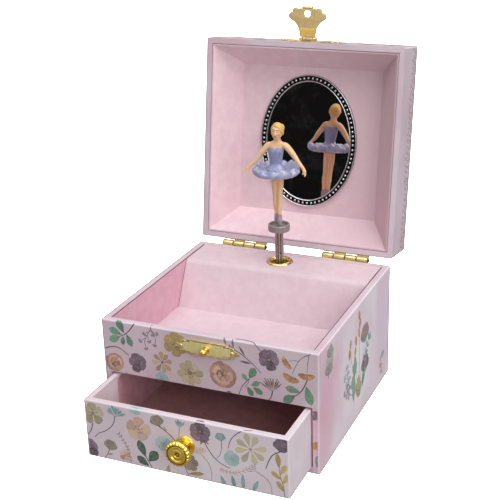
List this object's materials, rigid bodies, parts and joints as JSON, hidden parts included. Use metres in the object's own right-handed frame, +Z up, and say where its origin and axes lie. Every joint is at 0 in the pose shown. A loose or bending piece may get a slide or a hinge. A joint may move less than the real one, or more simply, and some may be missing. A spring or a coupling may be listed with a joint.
{
  "type": "ballerina jewellery box",
  "caption": "Square papered box with a hinged mirror lid, a tray, a drawer with a round knob and a wind-up dancer on a stem.",
  "frame": {"origin": "middle of the case's underside", "axes": "+Z up, -Y the front with the drawer, +X to the right seen from the front"},
  "size_m": [0.12, 0.2057, 0.2061],
  "materials": {
    "papered_board": "board wrapped in printed paper, satin",
    "pink_card": "pink paper-faced card, matte",
    "maroon_card": "dark paper, matte",
    "brass": "gold-coloured plating, polished",
    "grey_plastic": "grey painted plastic",
    "steel": "zinc-plated steel",
    "zinc": "die-cast zinc",
    "silvered_plastic": "antique silver over black",
    "mirror": "silvered glass",
    "skin_paint": "skin-coloured plastic, semi-matte",
    "slipper_paint": "grey-lilac paint",
    "lilac_paint": "glossy lilac-blue paint",
    "hair_paint": "golden paint"
  },
  "bodies": {
    "case": {"left_wall": "papered_board", "right_wall": "papered_board", "back_wall": "papered_board", "front_apron": "papered_board", "base_board": "papered_board", "divider_board": "papered_board", "tray_floor": "pink_card", "tray_liner_front": "pink_card", "tray_liner_left": "pink_card", "tray_liner_right": "pink_card", "music_cover": "pink_card", "grommet": "brass", "stand_post": "grey_plastic", "catch_plate": "brass", "ball_stud": "brass", "hinge_case_leaf_left": "brass", "hinge_case_leaf_right": "brass", "hinge_pin_left": "brass", "hinge_pin_right": "brass", "bedplate": "steel", "cylinder_bracket": "steel", "governor_bracket": "steel", "spindle_bracket": "steel", "comb_block": "zinc", "comb": "steel"},
    "lid": {"lid_top": "papered_board", "lid_front_wall": "papered_board", "lid_back_wall": "papered_board", "lid_left_wall": "papered_board", "lid_right_wall": "papered_board", "lid_liner": "pink_card", "mirror_frame": "silvered_plastic", "mirror_glass": "mirror", "hinge_lid_leaf_left": "brass", "hinge_lid_leaf_right": "brass", "hasp_plate": "brass", "hasp_pin": "brass"},
    "hasp": {"hasp": "brass"},
    "drawer": {"drawer_front": "papered_board", "drawer_left_side": "papered_board", "drawer_right_side": "papered_board", "drawer_back": "papered_board", "drawer_bottom": "papered_board", "drawer_lining": "maroon_card", "knob": "brass", "knob_screw": "steel"},
    "stem": {"stem_fork": "grey_plastic", "stem_pin": "steel"},
    "dancer": {"dancer_disc": "grey_plastic", "dancer_slippers": "slipper_paint", "dancer_figure": "skin_paint", "dancer_bodice": "lilac_paint", "dancer_tutu": "lilac_paint", "dancer_hair": "hair_paint"},
    "barrel": {"spring_barrel": "brass", "winding_arbor": "steel", "winding_key": "steel"},
    "cylinder": {"pinned_cylinder": "brass"},
    "spindle": {"drive_spindle": "steel"},
    "governor": {"governor": "steel"}
  },
  "joints": [
    {"name": "lid_hinge", "type": "hinge", "parent": "case", "child": "lid", "pos_m": [0, 0.0625, 0.0669], "axis": [1, 0, 0], "range_deg": [0, 98.8]},
    {"name": "hasp_hinge", "type": "hinge", "parent": "lid", "child": "hasp", "pos_m": [0.0004, 0.08836, 0.18817], "axis": [1, 0, 0], "range_deg": [-95, 81.2]},
    {"name": "drawer_slide", "type": "slide", "parent": "case", "child": "drawer", "axis": [0, -1, 0], "range_m": [-0.0295, 0.055]},
    {"name": "stem_fold", "type": "hinge", "parent": "case", "child": "stem", "pos_m": [-0.0022, 0.0453, 0.0749], "axis": [1, 0, 0], "range_deg": [0, 98]},
    {"name": "dancer_spin", "type": "hinge", "parent": "stem", "child": "dancer", "pos_m": [-0.0022, 0.0453, 0.086], "axis": [0, 0, 1], "continuous": true},
    {"name": "key_turn", "type": "hinge", "parent": "case", "child": "barrel", "pos_m": [-0.0022, 0.0528, 0.0528], "axis": [0, 1, 0], "continuous": true},
    {"name": "cylinder_spin", "type": "hinge", "parent": "case", "child": "cylinder", "pos_m": [0, 0.0433, 0.0528], "axis": [1, 0, 0], "continuous": true},
    {"name": "spindle_spin", "type": "hinge", "parent": "case", "child": "spindle", "pos_m": [-0.0022, 0.0453, 0.0615], "axis": [0, 0, 1], "continuous": true},
    {"name": "governor_spin", "type": "hinge", "parent": "case", "child": "governor", "pos_m": [0.04, 0.0433, 0.0589], "axis": [1, 0, 0], "continuous": true}
  ],
  "couplings": [
    {"joint": "stem_fold", "follows": "lid_hinge", "ratio": 0.99089},
    {"joint": "dancer_spin", "follows": "key_turn", "ratio": -4},
    {"joint": "spindle_spin", "follows": "key_turn", "ratio": -4},
    {"joint": "cylinder_spin", "follows": "key_turn", "ratio": -2},
    {"joint": "governor_spin", "follows": "key_turn", "ratio": 8}
  ]
}
